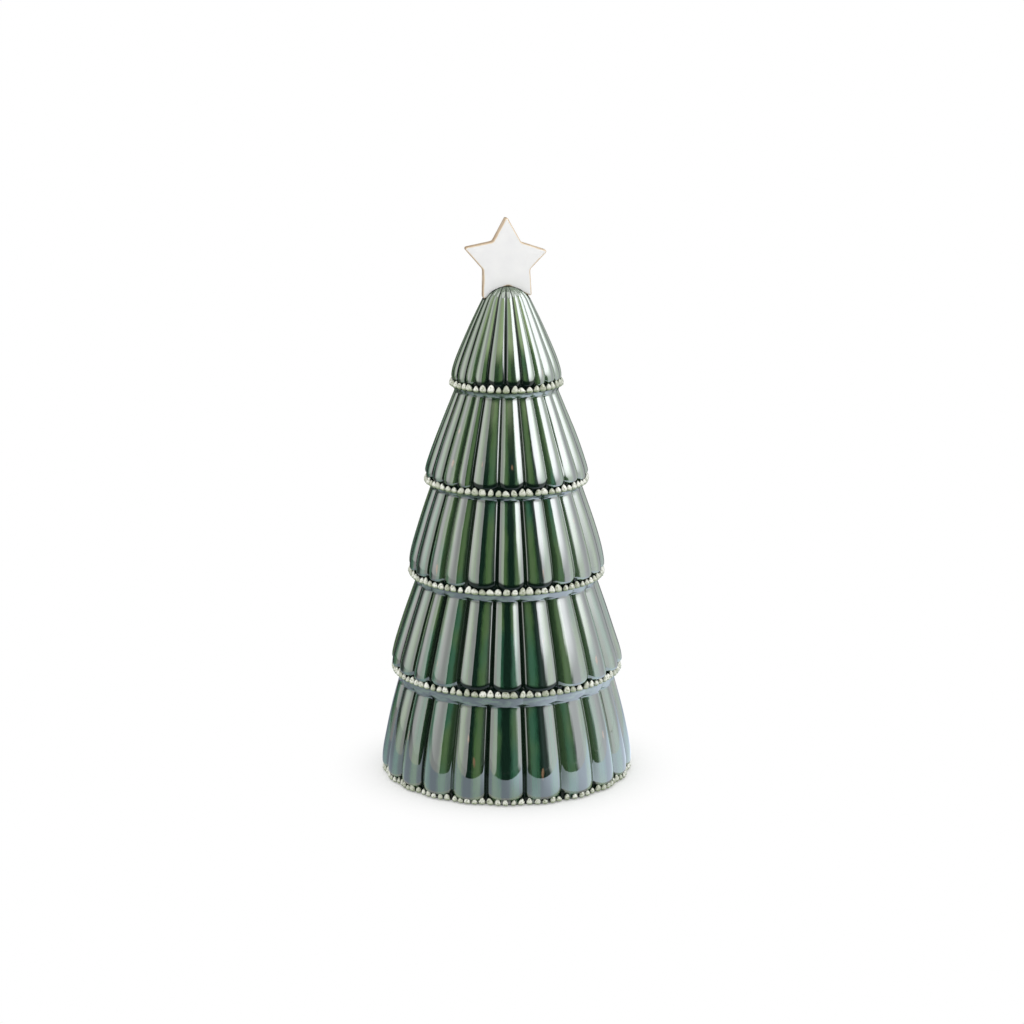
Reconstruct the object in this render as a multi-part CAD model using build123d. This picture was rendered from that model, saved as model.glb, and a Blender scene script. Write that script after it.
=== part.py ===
from build123d import *
import os
from dataclasses import dataclass
from math import asin, cos, degrees, floor, hypot, pi, radians, sin, tan

# A table-top Christmas tree in glazed stoneware. Five hollow, fluted bells stand on each other:
# the shoulder of each bell carries the next one, and its spigot rises into that one's bore.
# A row of clay beads is pressed on every rim, and a star is let into the crown.
# Millimetres, +Z up, origin in the middle of the foot ring, the star's face towards -Y.

# Flutes: a turn is the angle in degrees that the wall bends through from a crest to a groove
FLUTES = 22
FLUTE_TURN = 44.0
NECK_TURN = 20.0
BASE_RIM_TURN = 28.0

# Crest radius of each tier at its widest, just above the rim
BASE_RADIUS = 63.6
TIER_2_RADIUS = 58.4
TIER_3_RADIUS = 49.1
TIER_4_RADIUS = 40.6
CROWN_RADIUS = 27.2

# Height of each tier from the underside of its rim to its shoulder, the crown's to its tip
BASE_HEIGHT = 53.2
TIER_2_HEIGHT = 49.0
TIER_3_HEIGHT = 47.2
TIER_4_HEIGHT = 48.3
CROWN_HEIGHT = 49.5

# Height of the plain neck between the top of the flutes and the shoulder
BASE_NECK = 5.8
TIER_2_NECK = 4.3
TIER_3_NECK = 3.2
TIER_4_NECK = 3.4

# Step from the neck out to the crests of the flutes under it
FLUTE_STEP = 0.5

# How far each rim band stands out over the neck that carries it
TIER_2_OVERHANG = 1.1
TIER_3_OVERHANG = 1.1
TIER_4_OVERHANG = 1.0
CROWN_OVERHANG = 0.15

# Height of each belly above the flutes' tips, where the flank would meet an upright from the rim
BASE_BELLY = 12.2
TIER_2_BELLY = 5.1
TIER_3_BELLY = 8.1
TIER_4_BELLY = 4.6
CROWN_BELLY = 6.7

# Angle in degrees by which each tier's front crest is turned to the right of dead front
BASE_TWIST = 0.4
TIER_2_TWIST = 1.2
TIER_3_TWIST = 2.8
TIER_4_TWIST = 4.2
CROWN_TWIST = 6.8

# Dome that closes the crown, and the angle from its tip at which the flank leaves it
DOME_RADIUS = 13.6
DOME_SPAN = 62.0
DOME_THICKNESS = 13.0

# Walls and seats
WALL = 4.5
FOOT_WIDTH = 4.5
LEDGE_THICKNESS = 4.6
SHOULDER_WIDTH = 2.6
SPIGOT_WALL = 3.6
SPIGOT_RISE = 5.0
SPIGOT_CLEARANCE = 0.3

# Beads: the stand is how far a bead's centre lies outside the band that it is pressed on
BEAD_DIAMETER = 3.6
BASE_BEAD_DIAMETER = 3.25
BEAD_STAND = 1.3
BEAD_GAP = 0.25
BEAD_CLEARANCE = 0.15
FOOT_GAP = 0.5

# Rounded lower ends of the flutes: their height, the share of the overhang kept as a lip, and how
# far the band lies behind the grooves, or on the base behind the crests
TIP_HEIGHT = 2.6
TIP_LIP = 0.35
BAND_INSET = 0.3
BASE_BAND_INSET = 2.5

# Star, measured to the corners of its outline before they are rounded
STAR_POINTS = 5
STAR_RADIUS = 22.5
STAR_INNER_RADIUS = 12.1
STAR_THICKNESS = 6.0
STAR_SINK = 0.5
STAR_YAW = 9.0
STAR_CLEARANCE = 0.15
STAR_TIP_ROUND = 1.3
STAR_NOTCH_ROUND = 2.0
STAR_EDGE_ROUND = 1.0

# Sections that each loft runs through
FLANK_SECTIONS = 6
TIP_SECTIONS = 4
DOME_SECTIONS = 5

FRONT = -90.0
HALF_FLUTE = pi / FLUTES
ON_FOOT = (Align.CENTER, Align.CENTER, Align.MIN)


@dataclass
class Tier:
    """One bell. Heights are measured from the ground, radii at the crests of its flutes."""

    name: str
    foot: float
    height: float
    radius: float
    neck_height: float
    belly: float
    twist: float
    band_crest: float = 0.0
    band_groove: float = 0.0
    neck: float = 0.0
    bore: float = 0.0
    bead_rise: float = BEAD_CLEARANCE
    bead: float = BEAD_DIAMETER

    @property
    def top(self):
        return self.foot + self.height

    @property
    def flute_top(self):
        return self.top - self.neck_height

    @property
    def bead_height(self):
        return self.foot + self.bead_rise + self.bead / 2

    @property
    def band_top(self):
        return self.foot + self.bead_rise + self.bead + BEAD_CLEARANCE

    @property
    def tip_top(self):
        return self.band_top + TIP_HEIGHT

    @property
    def flute_crest(self):
        return self.neck + FLUTE_STEP

    @property
    def neck_groove(self):
        return groove_radius(self.neck, NECK_TURN)

    @property
    def spigot(self):
        return self.neck_groove - SHOULDER_WIDTH

    def flank(self, share):
        """Crest radius and height on the flank, a share of the way from the tips to the neck."""
        weights = ((1 - share) ** 2, 2 * share * (1 - share), share**2)
        radii = (self.radius, self.radius, self.flute_crest)
        heights = (self.tip_top, self.tip_top + self.belly, self.flute_top)
        crest = sum(weight * radius for weight, radius in zip(weights, radii))
        return crest, sum(weight * height for weight, height in zip(weights, heights))

    def scallops(self, crest, groove, height):
        """Level face with one outward arc for each flute."""
        arcs = []
        for flute in range(FLUTES):
            middle = radians(FRONT + self.twist) + 2 * HALF_FLUTE * flute
            start = polar(groove, middle - HALF_FLUTE)
            end = polar(groove, middle + HALF_FLUTE)
            arcs.append(ThreePointArc(start, polar(crest, middle), end))
        return Pos(0, 0, height) * Face(Wire(arcs))

    def fluted(self, crest, height):
        """Level face of full flutes."""
        return self.scallops(crest, groove_radius(crest, FLUTE_TURN), height)


def groove_radius(crest, turn):
    """Radius of the grooves between flutes that turn by an angle and have crests at a radius."""
    return crest / (cos(HALF_FLUTE) + sin(HALF_FLUTE) * tan(radians(turn) / 2))


def polar(radius, angle):
    """Point at a radius and an angle."""
    return (radius * cos(angle), radius * sin(angle))


def stack_tiers():
    """The five bells from the ground up, each neck sized for the band that stands on it."""
    rows = [
        ("tier_1_base", BASE_HEIGHT, BASE_RADIUS, BASE_NECK, BASE_BELLY, BASE_TWIST),
        ("tier_2", TIER_2_HEIGHT, TIER_2_RADIUS, TIER_2_NECK, TIER_2_BELLY, TIER_2_TWIST),
        ("tier_3", TIER_3_HEIGHT, TIER_3_RADIUS, TIER_3_NECK, TIER_3_BELLY, TIER_3_TWIST),
        ("tier_4", TIER_4_HEIGHT, TIER_4_RADIUS, TIER_4_NECK, TIER_4_BELLY, TIER_4_TWIST),
        ("tier_5_crown", CROWN_HEIGHT, CROWN_RADIUS, 0.0, CROWN_BELLY, CROWN_TWIST),
    ]
    tiers = []
    foot = 0.0
    for name, height, radius, neck_height, belly, twist in rows:
        tier = Tier(name, foot, height, radius, neck_height, belly, twist)
        tier.band_crest = groove_radius(radius, FLUTE_TURN) - BAND_INSET
        tier.band_groove = tier.band_crest
        tiers.append(tier)
        foot = tier.top
    overhangs = (TIER_2_OVERHANG, TIER_3_OVERHANG, TIER_4_OVERHANG, CROWN_OVERHANG)
    for below, above, overhang in zip(tiers, tiers[1:], overhangs):
        below.neck = above.band_crest - overhang
        above.bore = below.spigot + SPIGOT_CLEARANCE
    base, crown = tiers[0], tiers[-1]
    base.bead_rise = FOOT_GAP
    base.bead = BASE_BEAD_DIAMETER
    base.band_crest = base.radius - BASE_BAND_INSET
    base.band_groove = groove_radius(base.band_crest, BASE_RIM_TURN)
    base.bore = base.band_groove - FOOT_WIDTH
    crown.neck = DOME_RADIUS * sin(radians(DOME_SPAN)) - FLUTE_STEP
    crown.neck_height = DOME_RADIUS * (1 - cos(radians(DOME_SPAN)))
    return tiers


def rim(tier):
    """Upright band that the beads are pressed on, and the flutes' rounded tips above it."""
    section = tier.scallops(tier.band_crest, tier.band_groove, tier.foot)
    band = extrude(section, tier.band_top - tier.foot, dir=(0, 0, 1))
    full_groove = groove_radius(tier.radius, FLUTE_TURN)
    sections = []
    for step in range(TIP_SECTIONS):
        share = step / (TIP_SECTIONS - 1)
        swell = TIP_LIP + (1 - TIP_LIP) * sin(share * pi / 2)
        crest = tier.band_crest + (tier.radius - tier.band_crest) * swell
        groove = tier.band_groove + (full_groove - tier.band_groove) * swell
        sections.append(tier.scallops(crest, groove, tier.band_top + TIP_HEIGHT * share))
    return band + loft(sections)


def skirt(tier):
    """Fluted flank from the tips up to the neck."""
    shares = [step / (FLANK_SECTIONS - 1) for step in range(FLANK_SECTIONS)]
    return loft([tier.fluted(*tier.flank(share)) for share in shares])


def shoulder(tier):
    """Shallow-scalloped neck under the next tier, and the spigot that rises into it."""
    section = tier.scallops(tier.neck, tier.neck_groove, tier.flute_top)
    neck = extrude(section, tier.neck_height, dir=(0, 0, 1))
    spigot = Cylinder(tier.spigot, tier.neck_height + SPIGOT_RISE, align=ON_FOOT)
    return neck + Pos(0, 0, tier.flute_top) * spigot


def dome(crown):
    """Fluted cap that closes the crown, with a small flat at its tip."""
    sections = []
    for step in range(DOME_SECTIONS):
        angle = radians(DOME_SPAN) * (1 - step / DOME_SECTIONS)
        height = crown.top - DOME_RADIUS * (1 - cos(angle))
        sections.append(crown.fluted(DOME_RADIUS * sin(angle), height))
    return loft(sections)


def hollow(tier, ceiling, way_up):
    """Space inside a bell: its bore, the room behind the flank, and the spigot's own bore."""
    ledge = LEDGE_THICKNESS if tier.foot else tier.band_top
    inside = [groove_radius(tier.flank(share)[0], FLUTE_TURN) - WALL for share in (0, 0.5, 1)]
    corners = [
        (0, tier.foot),
        (tier.bore, tier.foot),
        (tier.bore, tier.foot + ledge),
        (max(inside[0], tier.bore), tier.tip_top),
        (inside[1], tier.flank(0.5)[1]),
        (inside[2], ceiling),
    ]
    if way_up:
        spigot_top = tier.top + SPIGOT_RISE
        corners += [(way_up, ceiling), (way_up, spigot_top), (0, spigot_top)]
    else:
        corners += [(0, ceiling)]
    profile = Plane.XZ * make_face(Polyline(*corners, close=True))
    return revolve(profile, Axis.Z)


def bell(tier):
    """An open tier with a shoulder and a spigot for the next one."""
    outside = rim(tier) + skirt(tier) + shoulder(tier)
    return outside - hollow(tier, tier.flute_top, tier.spigot - SPIGOT_WALL)


def star_plate(crown, clearance):
    """Star on the crown, grown all round by a clearance where it is to be cut out."""
    corners = []
    for corner in range(2 * STAR_POINTS):
        radius = STAR_INNER_RADIUS if corner % 2 else STAR_RADIUS
        corners.append(polar(radius, pi / 2 + corner * pi / STAR_POINTS))
    outline = make_face(Polyline(*corners, close=True))
    tips = outline.vertices().filter_by(lambda v: hypot(v.X, v.Y) > STAR_INNER_RADIUS + STAR_TIP_ROUND)
    outline = fillet(tips, STAR_TIP_ROUND)
    notches = outline.vertices().filter_by(lambda v: hypot(v.X, v.Y) < STAR_INNER_RADIUS + STAR_CLEARANCE)
    outline = fillet(notches, STAR_NOTCH_ROUND)
    if clearance:
        outline = offset(outline, clearance)
    plate = extrude(outline, STAR_THICKNESS / 2 + clearance, both=True)
    if not clearance:
        plate = fillet(plate.faces().filter_by(Axis.Z).edges(), STAR_EDGE_ROUND)
    middle = crown.top + STAR_INNER_RADIUS - STAR_SINK
    return Pos(0, 0, middle) * Rot(0, 0, STAR_YAW) * Rot(90, 0, 0) * plate


def crown_bell(crown):
    """The closed top tier, notched for the star."""
    outside = rim(crown) + skirt(crown) + dome(crown)
    inside = hollow(crown, crown.top - DOME_THICKNESS, None)
    return outside - inside - star_plate(crown, STAR_CLEARANCE)


def bead_on(wall_middle, wall_radius, angle, tier):
    """Bead with a flat back, pressed on an upright round wall at an angle round its middle."""
    radius = tier.bead / 2
    bead = Sphere(radius, arc_size1=-degrees(asin(BEAD_STAND / radius)), align=ON_FOOT)
    outward = Pos(wall_radius, 0, 0) * Rot(0, 90, 0)
    return Pos(wall_middle, 0, tier.bead_height) * Rot(0, 0, angle) * outward * bead


def round_row(tier):
    """Beads evenly spaced round a plain band."""
    reach = tier.band_crest + BEAD_STAND
    count = floor(2 * pi * reach / (tier.bead + BEAD_GAP))
    bead = bead_on(0, tier.band_crest, FRONT, tier)
    return [Rot(0, 0, 360 * place / count) * bead for place in range(count)]


def scalloped_row(tier):
    """Beads that follow the scallops of the base, as many as fit between two grooves."""
    chord = tier.band_groove * sin(HALF_FLUTE)
    bulge = tier.band_crest - tier.band_groove * cos(HALF_FLUTE)
    wall_radius = (chord**2 + bulge**2) / (2 * bulge)
    wall_middle = tier.band_crest - wall_radius
    reach = wall_radius + BEAD_STAND
    pitch = tier.bead + BEAD_GAP
    limit = HALF_FLUTE + asin((wall_middle * sin(HALF_FLUTE) - pitch / 2) / reach)
    spaces = floor(2 * limit * reach / pitch)
    angles = [degrees(limit) * (2 * place / spaces - 1) for place in range(spaces + 1)]
    beads = [bead_on(wall_middle, wall_radius, angle, tier) for angle in angles]
    turns = [FRONT + tier.twist + 360 * flute / FLUTES for flute in range(FLUTES)]
    return [Rot(0, 0, turn) * bead for turn in turns for bead in beads]


def build():
    """Every node's solids by name."""
    tiers = stack_tiers()
    base, crown = tiers[0], tiers[-1]
    nodes = {tier.name: [bell(tier)] for tier in tiers[:-1]}
    nodes[crown.name] = [crown_bell(crown)]
    nodes["beads_1"] = scalloped_row(base)
    for number, tier in enumerate(tiers[1:], start=2):
        nodes[f"beads_{number}"] = round_row(tier)
    nodes["star"] = [star_plate(crown, 0)]
    return nodes


os.makedirs("parts", exist_ok=True)
for name, pieces in build().items():
    solids = [solid for piece in pieces for solid in piece.solids()]
    export_step(Compound(solids), f"parts/{name}.step")
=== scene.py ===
import math

import bpy
import numpy as np
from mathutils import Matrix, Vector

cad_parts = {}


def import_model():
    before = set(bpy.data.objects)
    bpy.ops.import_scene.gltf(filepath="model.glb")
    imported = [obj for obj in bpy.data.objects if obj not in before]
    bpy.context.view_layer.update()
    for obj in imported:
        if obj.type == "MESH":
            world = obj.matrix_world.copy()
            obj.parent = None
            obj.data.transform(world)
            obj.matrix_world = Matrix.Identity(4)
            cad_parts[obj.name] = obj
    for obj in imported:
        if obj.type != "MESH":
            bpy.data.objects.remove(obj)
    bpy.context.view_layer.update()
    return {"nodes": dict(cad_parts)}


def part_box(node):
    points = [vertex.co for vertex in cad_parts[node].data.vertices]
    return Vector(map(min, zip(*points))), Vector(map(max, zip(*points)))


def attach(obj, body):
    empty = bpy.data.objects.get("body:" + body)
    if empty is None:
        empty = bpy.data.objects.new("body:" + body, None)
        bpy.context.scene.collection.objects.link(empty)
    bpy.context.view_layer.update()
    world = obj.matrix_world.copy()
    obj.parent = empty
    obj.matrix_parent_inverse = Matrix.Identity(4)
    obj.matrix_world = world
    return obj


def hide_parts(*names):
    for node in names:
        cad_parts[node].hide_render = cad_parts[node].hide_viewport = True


# A stacked, fluted Christmas tree in glossy green glaze, with clay beads on its rims and a star.
# Metres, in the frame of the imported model: +Z up, the star's face towards -Y.
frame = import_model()
MM = 0.001
SEED = 7
BEAD_SEED = 17

# Flutes: the degrees that the wall turns through from a crest to a groove, evenly and towards its end
FLUTES = 22
HALF_FLUTE = math.pi / FLUTES
FLUTE_TURN = (45.0, 5.0)
NECK_TURN = (20.0, 0.0)
BASE_RIM_TURN = (28.0, 0.0)
FALL_STEPS = 200

# Creases: depth as a share of the radius, where they start and where their painted shade begins across a
# flute, from its crest at 0 to its groove at 1, and the width of their painted dark line with its largest
# share of half a flute
CREASE = 0.020
CREASE_START = 0.87
CREASE_SHADE = (0.62, 0.82)
CREASE_WIDTH = 0.60 * MM
WIDEST_CREASE = 0.22

# Grid: columns of a flute, how far they crowd towards its grooves, and rows of each stretch of a bell
COLUMNS_PER_FLUTE = 28
CROWDING = 0.85
TIP_ROWS = 9
FLANK_ROWS = 40
NECK_ROWS = 14
DOME_ROWS = 24

# Each tier's node, height of its neck, height of its belly, and turn of its front crest to the right
TIERS = (
    ("tier_1_base", 5.8 * MM, 12.2 * MM, 0.4),
    ("tier_2", 4.3 * MM, 5.1 * MM, 1.2),
    ("tier_3", 3.2 * MM, 8.1 * MM, 2.8),
    ("tier_4", 3.4 * MM, 4.6 * MM, 4.2),
    ("tier_5_crown", 0.0, 6.7 * MM, 6.8),
)
LEVEL_TOLERANCE = 0.02 * MM

# Degrees by which each tier's eight front grooves stray from even spacing, from left to right
GROOVE_SHIFTS = (
    (-2.0, -2.5, -2.0, -1.5, 0.0, 2.0, 4.5, 4.5),
    (1.5, -2.5, -1.5, 0.0, -0.5, 1.5, 4.5, 4.5),
    (0.0, -2.0, -2.5, 0.0, 0.5, 2.5, 2.0, 3.5),
    (1.0, -0.5, -4.5, -1.0, 1.0, 2.5, 1.5, 3.5),
    (1.5, -1.5, -2.0, 0.5, 1.0, 1.0, -1.0, 1.5),
)

# How sharply those same grooves are creased, and how dark their painted shade is, from not at all to fully
GROOVE_DEPTHS = (
    (0.6, 0.8, 0.4, 0.8, 0.7, 0.2, 0.1, 0.0),
    (0.6, 0.8, 0.7, 0.8, 0.8, 0.4, 0.1, 0.0),
    (0.6, 0.2, 0.6, 0.9, 0.7, 0.3, 0.0, 0.0),
    (0.5, 0.3, 0.7, 0.6, 0.5, 0.1, 0.0, 0.0),
    (0.7, 0.1, 0.9, 1.0, 0.7, 0.0, 0.0, 0.0),
)

# The deeper creases and wider painted shade of the grooves next to those at the far left, and the range of
# the rest behind
FAR_LEFT_GROOVES = 2
FAR_LEFT_DEPTH = 1.6
BACK_DEPTHS = (0.3, 0.9)

# Crown: its height over its foot, the dome that closes it, and the largest share of a radius that rounds
# the dome's grooves
CROWN_HEIGHT = 49.5 * MM
DOME_RADIUS = 13.6 * MM
DOME_SPAN = math.radians(62.0)
DOME_THICKNESS = 13.0 * MM
DOME_ROUND_SHARE = 0.04

# Walls: thickness, share of the crest radius that it is set off from, and the flutes' step over the neck
WALL = 4.5 * MM
GROOVE_SHARE = 0.955
FLUTE_STEP = 0.5 * MM

# Rims: the band behind the beads, the rounded ends of the flutes and the pockets between them
BAND_HEIGHT = 2.9 * MM
BASE_BAND_HEIGHT = 2.1 * MM
TIP_HEIGHT = 2.0 * MM
POCKET_RISE = 2.2 * MM
EDGE_ROUND = 0.5 * MM
EDGE_MIDDLE = 0.3 * EDGE_ROUND
GROOVE_ROUND = 0.12 * MM

# Necks: the hollow over the flutes, the flare over it, and the height in which the flutes run out
NECK_FILLET = 1.2 * MM
NECK_FLARE = 1.3 * MM
FLARE_BEND = 1.3
NECK_EASE = 1.6 * NECK_FILLET

# How far hand work departs from the regular form
GROOVE_WANDER = math.radians(0.4)
SWELL_WANDER = 0.07
WALL_WANDER = 0.10 * MM
WALL_WAVES = 6
WAVE_HEIGHT = 2.0 * MM
TIP_WANDER = 0.45 * MM

# Dark pooled glaze and painted shade: how squarely a flute faces the front where they gather, what the
# other flutes keep of them, and between which shares or distances they come or go
FRONT_FACING = (0.84, 0.93)
SIDE_TIPS = 0.15
TIP_POOL_AND_SHADE_END = (0.45, 2.2)
BASE_POCKETS = (0.75, 1.0)
BASE_BAND = 0.15
BASE_BAND_POCKETS = (0.6, 0.95)
SIDE_NECKS = 0.35
NECK_POOL_AND_SHADE = 0.3
UNDER_BEADS = (0.55, 0.95)
STAR_SHADE_END = (0.4 * MM, 1.6 * MM)

# Beads: gap and stand of a round row, and stand, spread and facing of the row on the base's scallops
BEAD_GAP = 0.25 * MM
BEAD_STAND = 1.3 * MM
BEAD_SINK = 0.1 * MM
BEAD_WANDER = 0.07 * MM
BEADS_PER_SCALLOP = 5
SCALLOP_STAND = 0.9 * BEAD_STAND
SCALLOP_SPREAD = 0.97
SCALLOP_FACING = 0.8 * math.radians(BASE_RIM_TURN[0])

# One bead: width, depth and height in bead sizes, its widest level, how it rounds, points, leans and dents
BEAD_WIDTHS = (0.84, 1.12)
BEAD_DEPTHS = (0.78, 0.90)
BEAD_HEIGHTS = (0.78, 1.18)
BEAD_EQUATOR = 0.30
BEAD_FOOT_BEND = 0.5
BEAD_TOP_BEND = 0.62
BEAD_POINTS = (1.15, 2.1)
BEAD_LEAN = 0.11
BEAD_DENTS = (0.06, 0.05)
BEAD_RINGS = 9
BEAD_SIDES = 16

# Star, in millimetres: reach and bearing of each tip, and reach of each notch, anticlockwise from the top
STAR_TIPS = ((21.7, 90.5), (22.2, 163.0), (22.5, 238.0), (21.7, 304.5), (20.7, 12.5))
STAR_NOTCHES = (11.6, 12.5, 12.1, 12.3, 11.3)
STAR_HALF_THICKNESS = 3.0
STAR_TIP_ROUND = 0.9
STAR_NOTCH_ROUND = 2.2
STAR_EDGE_ROUND = 0.8
STAR_CROWN = 0.35
STAR_YAW = math.radians(9.0)

# Grid of the star, and the wear of its faces' borders and of the start of its edges
STAR_ARC_STEPS = 8
STAR_COLUMNS = 240
STAR_FACE_RINGS = (0.15, 0.35, 0.55, 0.72, 0.86, 0.94)
STAR_EDGE_ROWS = 6
FACE_WEAR = 0.12
EDGE_WEAR = 0.28

# Glazes: bend of light, roughness, how far streaks shift the green, relief, the heights between which the
# green turns to olive and to spring green, and the share of cells that hold no fleck
GLAZE_IOR = 2.5
GLAZE_ROUGHNESS = (0.015, 0.040)
CLAY_ROUGHNESS = 0.6
STREAK_SHIFT = 0.24
STREAK_RELIEF = 0.04 * MM
BRUSH_RELIEF = 8.0
OLIVE_HEIGHTS = (0.10, 0.24)
SPRING_HEIGHTS = (0.15, 0.23)
BARE_CELLS = 0.74
BEAD_RELIEF = 0.10 * MM
STAR_RELIEF = 0.05 * MM

# Camera: the photograph's own viewpoint
CAMERA_PLACE = (2.8 * MM, -1150 * MM, 398 * MM)
CAMERA_PITCH = math.radians(12.98)
CAMERA_LENS = 82.93
SENSOR_WIDTH = 36.0

# Studio: the middle and reaches of its globe, and reaches of its floor's parts from the tree's axis
STUDIO_MIDDLE = 0.14
WALL_REACH = 1.40
ROOM_REACH = 1.35
GROUND_REACH = 1.39
SHEET_REACH = 0.245
FOOT_REACH = 0.068
SHADOW_END = (0.045, 0.095)
FLOOR_REACH = 40.0
CARD_LIFT = 0.6 * MM
CARD_STEPS = 25

# Bearings off the front, to the right, and elevations of the studio's cards, in degrees
ALL_ROUND = (-180, 180)
LEFT_SIDE = (-180, -36)
RIGHT_SIDE = (33, 180)
FRONT = (-37, 35)
RIGHT_GROUND = (35, 180)
LEFT_GROUND = (-180, -80)
SIDE_LIGHTS = (-5.6, 62)
ROOM_RISE = (-5.9, 30)
WALL_RISE = (30, 66)
TOP_RISE = (68, 90)

# Strength of the studio's lights
WORLD_FILL = 0.92
TOP_LIGHT = 2.4
LEFT_WALL = 1.2
LEFT_PEAK = 0.75
RIGHT_WALL = 1.9
RIGHT_WALL_LOSS = 0.5
RIGHT_WINDOW = 3.3
RIGHT_BORDER = 0.1
ROOM_LIGHT = 0.004
ROOM_RIGHT = 0.20
ROOM_TOP = 0.05
CEILING_FOOT = 0.06
CEILING_GAIN = 1.25
CARPET_LIGHT = 0.006
SHEET_LIGHT = 1.0
SHEET_GAIN = 1.5
GROUND_LIGHT = 1.0

# Shares of light lost by the walls behind, and by the sheet and the ground at the far left and behind
BACK_SHADE = 0.95
SHEET_SHADE = 0.4
GROUND_SHADE = 0.9

# Colours of the studio
WHITE = (1.0, 1.0, 1.0)
PALE_FLOOR = (0.96, 0.96, 0.96)
WARM_WALL = (0.98, 0.99, 0.97)
WINDOW_WHITE = (0.97, 1.0, 1.02)
ROOM_BLUE = (0.80, 0.97, 1.0)
WALL_GREEN = (0.85, 1.0, 0.60)
SHEET_BLUE = (0.67, 0.76, 0.89)
GROUND_WHITE = (0.94, 0.98, 1.02)


# Curves

def smooth(value, low, high):
    """Smooth rise from 0 to 1 between two limits."""
    share = np.clip((value - low) / (high - low), 0, 1)
    return share * share * (3 - 2 * share)


def fall(turn):
    """Function of the share of the crest radius lost between a crest, at 0, and a groove, at 1."""
    place = np.linspace(0, 1, FALL_STEPS + 1)
    lean = np.radians(turn[0] * place + turn[1] * place**3) - HALF_FLUTE * place
    slope = np.tan(lean)
    lost = np.append(0, np.cumsum((slope[1:] + slope[:-1]) / 2)) * HALF_FLUTE / FALL_STEPS
    return lambda share: np.interp(share, place, lost)


FLUTE_FALL = fall(FLUTE_TURN)
NECK_FALL = fall(NECK_TURN)
BASE_RIM_FALL = fall(BASE_RIM_TURN)


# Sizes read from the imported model

def vertices_of(node):
    """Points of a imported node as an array."""
    mesh = frame["nodes"][node].data
    points = np.empty(len(mesh.vertices) * 3)
    mesh.vertices.foreach_get("co", points)
    return points.reshape(-1, 3)


def ring(node, height):
    """Least and greatest distance from the axis of a node's points at a height."""
    points = vertices_of(node)
    level = points[np.abs(points[:, 2] - height) < LEVEL_TOLERANCE]
    reach = np.hypot(level[:, 0], level[:, 1])
    return reach.min(), reach.max()


class Tier:
    """Sizes of one bell: heights from the ground, radii from the axis."""

    def __init__(self, number):
        self.node, self.neck_height, self.belly, twist = TIERS[number]
        self.twist = math.radians(twist - 90.0)
        self.shifts = np.radians(GROOVE_SHIFTS[number])
        self.depths = GROOVE_DEPTHS[number]
        self.bead_node = f"beads_{number + 1}"
        low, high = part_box(self.bead_node)
        self.bead_foot, self.bead = low.z, high.z - low.z
        low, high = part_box(self.node)
        self.foot = low.z
        self.is_base = number == 0
        self.is_crown = number == len(TIERS) - 1
        self.bore, self.band = ring(self.node, self.foot)
        points = vertices_of(self.node)
        self.radius = np.hypot(points[:, 0], points[:, 1]).max()
        self.band_top = self.foot + (BASE_BAND_HEIGHT if self.is_base else BAND_HEIGHT)
        self.tip_top = self.foot + BAND_HEIGHT + TIP_HEIGHT
        if self.is_crown:
            self.top = self.foot + CROWN_HEIGHT
            self.flute_top = self.top - DOME_RADIUS * (1 - math.cos(DOME_SPAN))
            self.flute_crest = DOME_RADIUS * math.sin(DOME_SPAN)
        else:
            above = TIERS[number + 1][0]
            self.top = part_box(above)[0].z
            self.flute_top = self.top - self.neck_height
            self.way_up, self.spigot = ring(self.node, high.z)
            self.spigot_top = high.z
            neck = ring(self.node, self.top)[1]
            self.flute_crest = neck + FLUTE_STEP

    def flank(self, share):
        """Crest radius and height on the flank, a share of the way from the tips to the neck."""
        near, middle, far = (1 - share) ** 2, 2 * share * (1 - share), share**2
        crest = (near + middle) * self.radius + far * self.flute_crest
        height = near * self.tip_top + middle * (self.tip_top + self.belly) + far * self.flute_top
        return crest, height

    def flank_slope(self):
        """Radius gained for each unit of height at the top of the flank."""
        return (self.flute_crest - self.radius) / (self.flute_top - self.tip_top - self.belly)


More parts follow.
